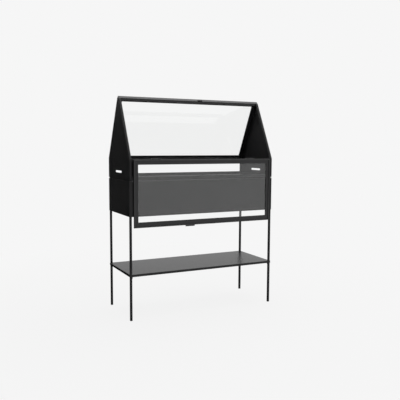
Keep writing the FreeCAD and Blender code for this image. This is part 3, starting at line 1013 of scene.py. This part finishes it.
class PLANTER_OT_strike_plate(bpy.types.Operator):
    """Shape the zinc strike plate that meets the catch, with round ends and two sunk screws"""
    bl_idname = "planter.strike_plate"
    bl_label = "Strike plate"

    # Shares of the plate's width
    END_ROUND = 0.42
    HOLE_RADIUS = 0.27

    # Share of the plate's length
    SCREW_PLACE = 0.3

    # Shares of the plate's thickness
    EDGE_ROUND = 0.25
    HOLE_DEPTH = 0.5
    HEAD_SINK = 0.12
    HEAD_ROUND = 0.1

    # Share of the hole's radius
    HEAD_RADIUS = 0.95

    END_STEPS = 6
    HOLE_SIDES = 24

    def execute(self, context):
        low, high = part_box("strike_plate")
        size = high - low
        centre = (low + high) / 2
        plate = add_block("strike_plate_zinc", low, high)
        round_edges(plate, along(Z_AXIS), size.y * self.END_ROUND, self.END_STEPS)
        round_edges(plate, below(low.z + MERGE_DISTANCE), size.z * self.EDGE_ROUND)
        heads = []
        for side in (-1, 1):
            spot = Vector((centre.x + side * size.x * self.SCREW_PLACE, centre.y, low.z))
            heads.append(self.sink_screw(plate, size, Matrix.Translation(spot)))
        join(heads[0], heads[1:])
        screws = name_piece("strike_plate_screws")
        finish_piece(plate, "bright_steel", "front_panel", "bright_steel", "strike_plate")
        finish_piece(screws, "screw_black", "front_panel", "screw_black")
        return {"FINISHED"}

    def sink_screw(self, plate, size, seat):
        """Cut a hole into the plate and put a screw head in it."""
        radius = size.y * self.HOLE_RADIUS
        depth = size.z * self.HOLE_DEPTH
        hole = add_round("hole", radius, -depth, depth, self.HOLE_SIDES)
        place(hole, seat)
        cut(plate, hole)
        face = size.z * self.HEAD_SINK
        head = add_round("head", radius * self.HEAD_RADIUS, face, depth, self.HOLE_SIDES)
        round_edges(head, below(face + MERGE_DISTANCE), size.z * self.HEAD_ROUND)
        place(head, seat)
        return head


class PLANTER_OT_pin_caps(bpy.types.Operator):
    """Turn the domed heads on both ends of each hinge pin"""
    bl_idname = "planter.pin_caps"
    bl_label = "Hinge pin heads"

    # Share of the head's height
    DOME = 0.8

    DOME_STEPS = 5
    SIDES = 24

    def execute(self, context):
        settings = context.scene.planter_fittings
        height = settings.pin_cap_height
        pattern = add_round("pin_cap", settings.pin_cap_radius, 0, height, self.SIDES)
        round_edges(pattern, above(height - MERGE_DISTANCE), height * self.DOME, self.DOME_STEPS)
        number = 0
        for low, high in solids_of("hinge_pins"):
            centre = (low + high) / 2
            for end, out in ((low.x, -X_AXIS), (high.x, X_AXIS)):
                number += 1
                seat = axes_at(Vector((end, centre.y, centre.z)), out, Z_AXIS)
                cap = copy_to(pattern, f"hinge_pin_cap_{number}", seat)
                finish_piece(cap, "bright_steel", "greenhouse_top", "bright_steel")
        bpy.data.objects.remove(pattern)
        return {"FINISHED"}


class PLANTER_OT_stage(bpy.types.Operator):
    """Set up the camera, the soft studio light, the white surround and the pale floor"""
    bl_idname = "planter.stage"
    bl_label = "Studio"

    # Thickness of the standing flag, and reach of the lying one
    FLAG_THICK = 0.02
    LYING_FRONT = 0.3
    LYING_BACK = 4.0
    LYING_RIGHT = 0.5

    # How far below the glides the floor lies, and the distances between which it fades to even white
    FLOOR_DROP = 0.0002
    FADE_NEAR = 0.4
    FADE_FAR = 2.2

    FLOOR_SIDES = 96
    PAPER_ROUGHNESS = 0.9
    PAPER_GLOSS = 0.1

    def execute(self, context):
        settings = context.scene.planter_stage
        self.add_camera(settings)
        self.add_softbox(settings)
        self.light_world(settings)
        self.add_flags(settings)
        self.add_floor(settings)
        context.scene.view_settings.view_transform = "Standard"
        return {"FINISHED"}

    def add_camera(self, settings):
        deselect()
        bpy.ops.object.camera_add()
        camera = name_piece("photo_camera")
        camera.data.sensor_width = settings.sensor
        camera.data.lens = settings.lens
        turn = Matrix.Rotation(-settings.camera_yaw, 4, "Z")
        tilt = Matrix.Rotation(math.pi / 2 - settings.camera_pitch, 4, "X")
        lean = Matrix.Rotation(settings.camera_roll, 4, "Z")
        camera.matrix_world = Matrix.Translation(settings.camera_place) @ turn @ tilt @ lean
        bpy.context.scene.camera = camera

    def add_softbox(self, settings):
        deselect()
        bpy.ops.object.light_add(type="AREA", location=settings.softbox_place)
        lamp = name_piece("softbox")
        lamp.data.size = settings.softbox_size
        lamp.data.energy = settings.softbox_power

    def light_world(self, settings):
        """A white surround for what is seen, and a soft light from all round."""
        world = bpy.data.worlds.new("studio")
        bpy.context.scene.world = world
        world.use_nodes = True
        nodes = world.node_tree.nodes
        links = world.node_tree.links
        mix = nodes.new("ShaderNodeMix")
        mix.data_type = "FLOAT"
        mix.inputs["A"].default_value = settings.room_light
        mix.inputs["B"].default_value = settings.backdrop_white
        links.new(self.seen(nodes, links), mix.inputs["Factor"])
        links.new(mix.outputs["Result"], nodes["Background"].inputs["Color"])

    def seen(self, nodes, links):
        """One where the camera looks, straight, in a reflection or through glass."""
        rays = nodes.new("ShaderNodeLightPath")
        result = rays.outputs["Is Camera Ray"]
        for kind in ("Is Glossy Ray", "Is Transmission Ray"):
            result = combined(nodes, links, "MAXIMUM", result, rays.outputs[kind])
        return result

    def add_flags(self, settings):
        """Two dark cards on the left, one standing and one lying, that only bounced light meets."""
        felt = self.dark_felt(settings.flag_tone)
        left = -settings.flag_distance
        standing = add_block("standing_flag",
                             Vector((left - self.FLAG_THICK, -settings.flag_front, 0)),
                             Vector((left, settings.flag_back, settings.flag_height)))
        lying = add_block("lying_flag",
                          Vector((left, -self.LYING_FRONT, 0)),
                          Vector((self.LYING_RIGHT, self.LYING_BACK, TOUCH)))
        lying.visible_diffuse = False
        for flag in (standing, lying):
            flag.data.materials.append(felt)
            flag.visible_camera = False
            flag.visible_shadow = False

    def dark_felt(self, tone):
        """A dark felt that is clear until light has bounced."""
        material, nodes, links = new_material("dark_felt")
        felt = shader_of(material)
        felt.inputs["Base Color"].default_value = (tone, tone, tone, 1)
        felt.inputs["Roughness"].default_value = 1
        felt.inputs["Specular IOR Level"].default_value = 0
        clear = nodes.new("ShaderNodeBsdfTransparent")
        rays = nodes.new("ShaderNodeLightPath")
        bounced = combined(nodes, links, "ADD", rays.outputs["Glossy Depth"], rays.outputs["Diffuse Depth"])
        mixed_surface(nodes, links, bounced, clear.outputs["BSDF"], felt.outputs["BSDF"])
        return material

    def add_floor(self, settings):
        deselect()
        bpy.ops.mesh.primitive_circle_add(vertices=self.FLOOR_SIDES, radius=settings.floor_radius,
                                          fill_type="NGON", location=(0, 0, -self.FLOOR_DROP))
        floor = name_piece("studio_floor")
        bpy.ops.object.transform_apply(location=True, rotation=True, scale=True)
        floor.data.materials.append(self.pale_floor(settings))

    def pale_floor(self, settings):
        """Pale paper with the planter's shadow, which fades to the backdrop's white further out."""
        material, nodes, links = new_material("pale_floor")
        paper = shader_of(material)
        paper.inputs["Base Color"].default_value = (*settings.floor_paper, 1)
        paper.inputs["Roughness"].default_value = self.PAPER_ROUGHNESS
        paper.inputs["Specular IOR Level"].default_value = self.PAPER_GLOSS
        white = nodes.new("ShaderNodeEmission")
        white.inputs["Strength"].default_value = settings.backdrop_white
        coordinates = nodes.new("ShaderNodeTexCoord")
        distance = nodes.new("ShaderNodeVectorMath")
        distance.operation = "LENGTH"
        links.new(coordinates.outputs["Object"], distance.inputs[0])
        fade = nodes.new("ShaderNodeMapRange")
        fade.interpolation_type = "SMOOTHSTEP"
        fade.inputs["From Min"].default_value = self.FADE_NEAR
        fade.inputs["From Max"].default_value = self.FADE_FAR
        fade.inputs["To Min"].default_value = settings.floor_white
        fade.inputs["To Max"].default_value = 1
        links.new(distance.outputs["Value"], fade.inputs["Value"])
        share = combined(nodes, links, "MULTIPLY", fade.outputs["Result"], self.seen(nodes, links))
        mixed_surface(nodes, links, share, paper.outputs["BSDF"], white.outputs["Emission"])
        return material


# Panel and registration

STEPS = (PLANTER_OT_dress_frame, PLANTER_OT_glazing_cords, PLANTER_OT_screws, PLANTER_OT_flush_screws,
         PLANTER_OT_glides, PLANTER_OT_buffers, PLANTER_OT_post_returns, PLANTER_OT_ridge_catch,
         PLANTER_OT_pull_lip, PLANTER_OT_strike_plate, PLANTER_OT_pin_caps, PLANTER_OT_stage)
SETTINGS = (("planter_finish", FinishSettings), ("planter_fittings", FittingSettings),
            ("planter_stage", StageSettings))


class PLANTER_PT_sidebar(bpy.types.Panel):
    """The planter's settings and steps"""
    bl_idname = "PLANTER_PT_sidebar"
    bl_label = "Greenhouse Planter"
    bl_space_type = "VIEW_3D"
    bl_region_type = "UI"
    bl_category = "Planter"

    def draw(self, context):
        for attribute, group in SETTINGS:
            column = self.layout.column()
            column.label(text=group.__doc__)
            for name in group.__annotations__:
                column.prop(getattr(context.scene, attribute), name)
        for step in STEPS:
            self.layout.operator(step.bl_idname)


def register():
    for attribute, group in SETTINGS:
        bpy.utils.register_class(group)
        setattr(bpy.types.Scene, attribute, PointerProperty(type=group))
    for step in STEPS:
        bpy.utils.register_class(step)
    bpy.utils.register_class(PLANTER_PT_sidebar)


def unregister():
    bpy.utils.unregister_class(PLANTER_PT_sidebar)
    for step in reversed(STEPS):
        bpy.utils.unregister_class(step)
    for attribute, group in reversed(SETTINGS):
        delattr(bpy.types.Scene, attribute)
        bpy.utils.unregister_class(group)


def main():
    register()
    bpy.ops.planter.dress_frame()
    bpy.ops.planter.glazing_cords()
    bpy.ops.planter.screws()
    bpy.ops.planter.flush_screws()
    bpy.ops.planter.glides()
    bpy.ops.planter.buffers()
    bpy.ops.planter.post_returns()
    bpy.ops.planter.ridge_catch()
    bpy.ops.planter.pull_lip()
    bpy.ops.planter.strike_plate()
    bpy.ops.planter.pin_caps()
    bpy.ops.planter.stage()


if __name__ == "__main__":
    main()
